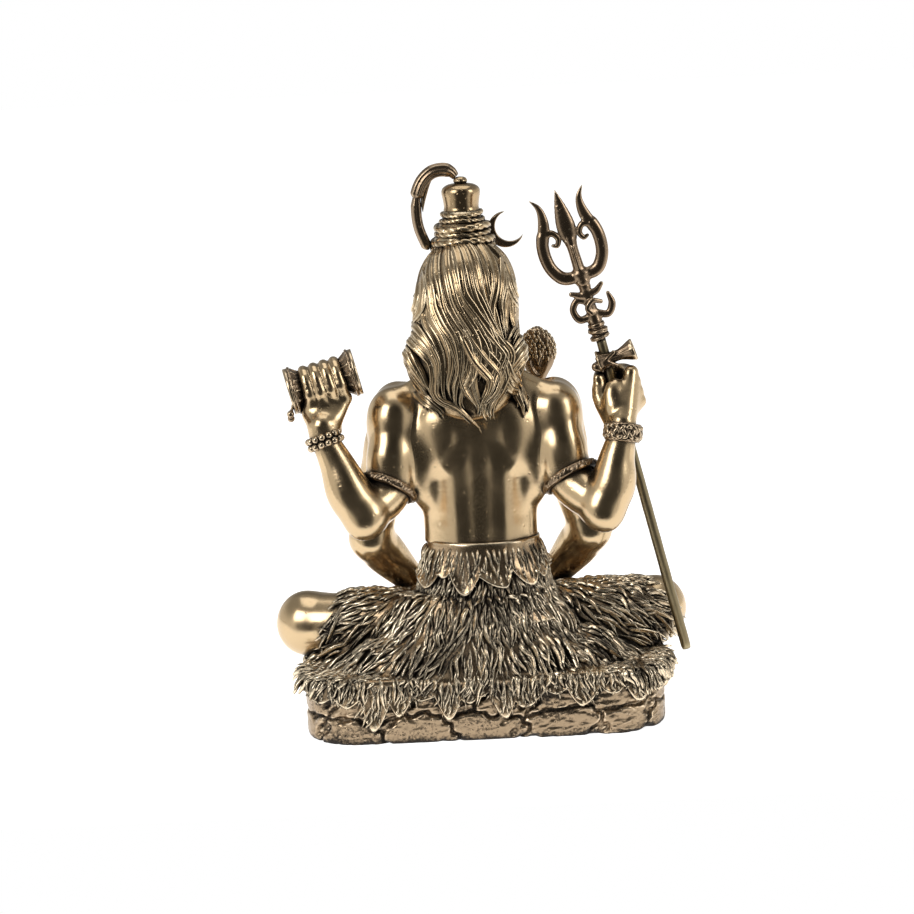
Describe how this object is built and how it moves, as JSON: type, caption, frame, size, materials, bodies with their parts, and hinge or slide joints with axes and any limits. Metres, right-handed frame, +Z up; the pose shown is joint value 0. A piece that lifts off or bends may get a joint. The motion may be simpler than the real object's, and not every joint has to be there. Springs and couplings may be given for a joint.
{
  "type": "seated four-armed deity statue",
  "caption": "Cast brass figure seated cross-legged on a rock base under a fur pelt, long hair down its back, drum in one raised hand and a lift-out trident in the other.",
  "frame": {"origin": "on the underside of the base, in the middle of the outline seen from above", "axes": "+Z up; the figure faces -Y, so its back is +Y and its own left hand is on +X"},
  "size_m": [0.1668, 0.0872, 0.2242],
  "materials": {
    "polished_brass": "polished, darkened in the creases",
    "antique_brass": "antiqued, high spots rubbed bright",
    "fur_brass": "antiqued relief, high spots rubbed bright",
    "rock_brass": "pitted and antiqued",
    "rod_brass": "dull drawn rod"
  },
  "bodies": {
    "statue": {"rock_base": "rock_brass", "pelt_seat": "fur_brass", "fur_kilt": "fur_brass", "left_leg": "polished_brass", "right_leg": "polished_brass", "torso": "polished_brass", "head": "polished_brass", "left_front_arm": "polished_brass", "right_front_arm": "polished_brass", "left_rear_arm": "polished_brass", "right_rear_arm": "polished_brass", "hair_mane": "antique_brass", "topknot": "antique_brass", "water_stream": "antique_brass", "crescent_moon": "antique_brass", "drum": "antique_brass", "left_armlet": "antique_brass", "right_armlet": "antique_brass", "left_rear_bracelet": "antique_brass", "right_rear_bracelet": "antique_brass", "left_front_bracelet": "antique_brass", "right_front_bracelet": "antique_brass", "left_ear_pendant": "antique_brass", "right_ear_pendant": "antique_brass", "cobra": "antique_brass", "bead_necklace": "antique_brass"},
    "trident": {"trident_staff": "rod_brass", "trident_small_drum": "antique_brass", "trident_collar": "antique_brass", "trident_scrolls": "antique_brass", "trident_head": "antique_brass"}
  },
  "joints": [
    {"name": "trident_lift", "type": "slide", "parent": "statue", "child": "trident", "axis": [0.2318, 0.0567, 0.9711], "range_m": [0, 0.095]}
  ]
}
